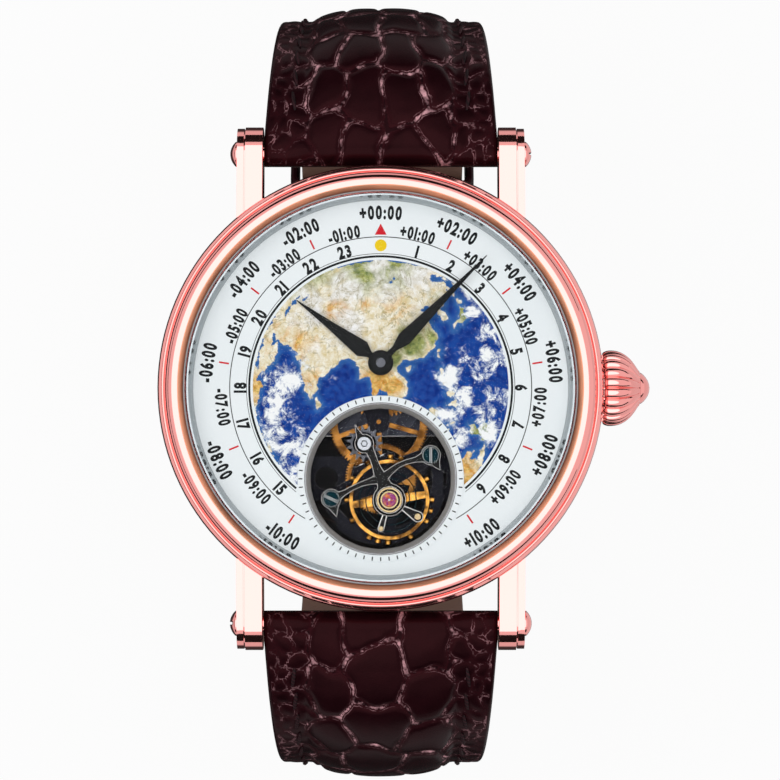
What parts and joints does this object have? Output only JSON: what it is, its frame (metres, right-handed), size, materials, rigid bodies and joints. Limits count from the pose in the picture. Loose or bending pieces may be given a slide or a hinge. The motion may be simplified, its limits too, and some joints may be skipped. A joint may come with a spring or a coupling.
{
  "type": "tourbillon wristwatch",
  "caption": "Round wristwatch with a world-time dial around a printed globe, a tourbillon in an open window, a fluted crown and a two-part leather strap with a pin buckle.",
  "frame": {"origin": "centre of the case back's outer face", "axes": "+Z out of the dial, +Y to 12 o'clock, +X to the crown"},
  "size_m": [0.0466, 0.0765, 0.1035],
  "materials": {
    "rose_gold": "polished 18-carat rose gold",
    "sapphire": "clear, coated against reflections",
    "gasket": "matte",
    "satin_silver": "circular satin",
    "polished_steel": "polished steel",
    "dial_white": "satin white lacquer",
    "globe_print": "printed and lacquered",
    "dark_plate": "black rhodium, fine grained",
    "rhodium": "striped, bevelled edges",
    "gilt_brass": "gilt, circular grained",
    "ruby": "polished synthetic ruby",
    "blued_steel": "flame-blued",
    "black_polish": "black polished, bright bevels",
    "balance_gold": "polished gold alloy",
    "alligator": "glossy alligator leather"
  },
  "bodies": {
    "case": {"case_middle": "rose_gold", "bezel": "rose_gold", "crystal": "sapphire", "case_gaskets": "gasket", "rehaut_ring": "satin_silver", "caseback_ring": "rose_gold", "caseback_glass": "sapphire", "crown_tube": "rose_gold", "lug_bars": "rose_gold", "movement_ring": "polished_steel", "dial": "dial_white", "globe_disc": "globe_print", "seconds_chapter_ring": "dial_white", "aperture_ring": "polished_steel", "main_plate": "dark_plate", "barrel_bridge": "rhodium", "train_bridge": "rhodium", "tourbillon_bridge": "rhodium", "fixed_wheel": "gilt_brass", "bridge_jewels": "ruby", "movement_screws": "blued_steel", "click_spring": "polished_steel"},
    "cage": {"cage_base": "dark_plate", "cage_bridge": "black_polish", "cage_screws": "blued_steel", "escape_cap": "polished_steel", "regulator": "polished_steel", "stud_holder": "polished_steel", "balance_jewel": "ruby"},
    "third": {"third_wheel": "gilt_brass"},
    "center": {"center_wheel": "gilt_brass", "cannon_pinion": "polished_steel", "minute_hand": "black_polish"},
    "minute_work": {"minute_wheel": "gilt_brass"},
    "hour": {"hour_wheel": "gilt_brass", "hour_hand": "black_polish"},
    "barrel": {"barrel_drum": "gilt_brass", "mainspring": "polished_steel"},
    "escape": {"escape_wheel": "polished_steel"},
    "fork": {"pallet_fork": "polished_steel"},
    "balance": {"balance_wheel": "balance_gold", "balance_screws": "balance_gold", "balance_staff": "polished_steel", "hairspring": "blued_steel"},
    "crown_slide": {"crown_gasket": "gasket"},
    "crown": {"crown": "rose_gold", "winding_stem": "polished_steel"},
    "winding": {"winding_pinion": "polished_steel"},
    "clutch": {"sliding_pinion": "polished_steel"},
    "crown_wheel": {"crown_wheel": "polished_steel"},
    "ratchet": {"ratchet_wheel": "polished_steel", "barrel_arbor": "polished_steel"},
    "lever": {"setting_lever": "polished_steel"},
    "click": {"click": "polished_steel"},
    "strap_12": {"strap_short": "alligator", "fixed_keeper": "alligator"},
    "strap_6": {"strap_long": "alligator"},
    "buckle": {"buckle_frame": "rose_gold"},
    "tongue": {"buckle_tongue": "rose_gold"},
    "loop": {"free_keeper": "alligator"}
  },
  "joints": [
    {"name": "cage_turn", "type": "hinge", "parent": "case", "child": "cage", "pos_m": [0, -0.00857, 0.0036], "axis": [0, 0, 1], "continuous": true},
    {"name": "third_turn", "type": "hinge", "parent": "case", "child": "third", "pos_m": [-0.0002, -0.00318, 0.0025], "axis": [0, 0, 1], "continuous": true},
    {"name": "center_turn", "type": "hinge", "parent": "case", "child": "center", "pos_m": [0, 0.00233, 0.003], "axis": [0, 0, 1], "continuous": true},
    {"name": "minute_work_turn", "type": "hinge", "parent": "case", "child": "minute_work", "pos_m": [-0.0026, 0.00383, 0.0057], "axis": [0, 0, 1], "continuous": true},
    {"name": "hour_turn", "type": "hinge", "parent": "case", "child": "hour", "pos_m": [0, 0.00233, 0.0061], "axis": [0, 0, 1], "continuous": true},
    {"name": "barrel_turn", "type": "hinge", "parent": "case", "child": "barrel", "pos_m": [0.0055, 0.00618, 0.004], "axis": [0, 0, 1], "continuous": true},
    {"name": "escape_turn", "type": "hinge", "parent": "cage", "child": "escape", "pos_m": [-0.00155, -0.00526, 0.004], "axis": [0, 0, 1], "continuous": true},
    {"name": "fork_swing", "type": "hinge", "parent": "cage", "child": "fork", "pos_m": [-0.00072, -0.00713, 0.004], "axis": [0, 0, 1], "range_deg": [-5, 5]},
    {"name": "balance_swing", "type": "hinge", "parent": "cage", "child": "balance", "pos_m": [0.00081, -0.01056, 0.0049], "axis": [0, 0, 1], "range_deg": [-270, 270], "stiffness_Nm_per_rad": 0.0000002, "deforming": ["hairspring"]},
    {"name": "crown_pull", "type": "slide", "parent": "case", "child": "crown_slide", "axis": [1, 0, 0], "range_m": [0, 0.001]},
    {"name": "crown_turn", "type": "hinge", "parent": "crown_slide", "child": "crown", "pos_m": [0.022, 0, 0.0039], "axis": [1, 0, 0], "continuous": true},
    {"name": "winding_turn", "type": "hinge", "parent": "case", "child": "winding", "pos_m": [0.0107, 0, 0.0039], "axis": [1, 0, 0], "continuous": true},
    {"name": "clutch_turn", "type": "hinge", "parent": "case", "child": "clutch", "pos_m": [0.0124, 0, 0.0039], "axis": [1, 0, 0], "continuous": true},
    {"name": "crown_wheel_turn", "type": "hinge", "parent": "case", "child": "crown_wheel", "pos_m": [0.00812, 0, 0.0018], "axis": [0, 0, 1], "continuous": true},
    {"name": "ratchet_turn", "type": "hinge", "parent": "case", "child": "ratchet", "pos_m": [0.0055, 0.00618, 0.0018], "axis": [0, 0, 1], "continuous": true},
    {"name": "lever_swing", "type": "hinge", "parent": "case", "child": "lever", "pos_m": [0.0144, 0.0026, 0.0057], "axis": [0, 0, 1], "range_deg": [0, 28.08]},
    {"name": "click_swing", "type": "hinge", "parent": "case", "child": "click", "pos_m": [0.00455, 0.0116, 0.0018], "axis": [0, 0, 1], "range_deg": [0, 8], "stiffness_Nm_per_rad": 0.0001, "springref_deg": -11.46},
    {"name": "strap_12_swing", "type": "hinge", "parent": "case", "child": "strap_12", "pos_m": [0, 0.0224, 0.0026], "axis": [1, 0, 0], "range_deg": [-6, 60]},
    {"name": "strap_6_swing", "type": "hinge", "parent": "case", "child": "strap_6", "pos_m": [0, -0.0224, 0.0026], "axis": [1, 0, 0], "range_deg": [-60, 6]},
    {"name": "buckle_swing", "type": "hinge", "parent": "strap_12", "child": "buckle", "pos_m": [0, 0.01914, -0.06161], "axis": [1, 0, 0], "range_deg": [-15, 55]},
    {"name": "tongue_swing", "type": "hinge", "parent": "buckle", "child": "tongue", "pos_m": [0, 0.01914, -0.06161], "axis": [1, 0, 0], "range_deg": [0, 50]},
    {"name": "loop_slide", "type": "slide", "parent": "strap_12", "child": "loop", "axis": [0, -0.3597, -0.9331], "range_m": [-0.004, 0.004]}
  ],
  "couplings": [
    {"joint": "third_turn", "follows": "cage_turn", "ratio": -0.15625},
    {"joint": "center_turn", "follows": "cage_turn", "ratio": 0.016667},
    {"joint": "minute_work_turn", "follows": "cage_turn", "ratio": -0.0055556},
    {"joint": "hour_turn", "follows": "cage_turn", "ratio": 0.0013889},
    {"joint": "barrel_turn", "follows": "cage_turn", "ratio": -0.002381},
    {"joint": "escape_turn", "follows": "cage_turn", "ratio": 10},
    {"joint": "winding_turn", "follows": "crown_turn", "ratio": 1},
    {"joint": "clutch_turn", "follows": "crown_turn", "ratio": 1},
    {"joint": "crown_wheel_turn", "follows": "crown_turn", "ratio": 0.625},
    {"joint": "ratchet_turn", "follows": "crown_turn", "ratio": -0.38462},
    {"joint": "lever_swing", "follows": "crown_pull", "rad_per_m": 490}
  ]
}
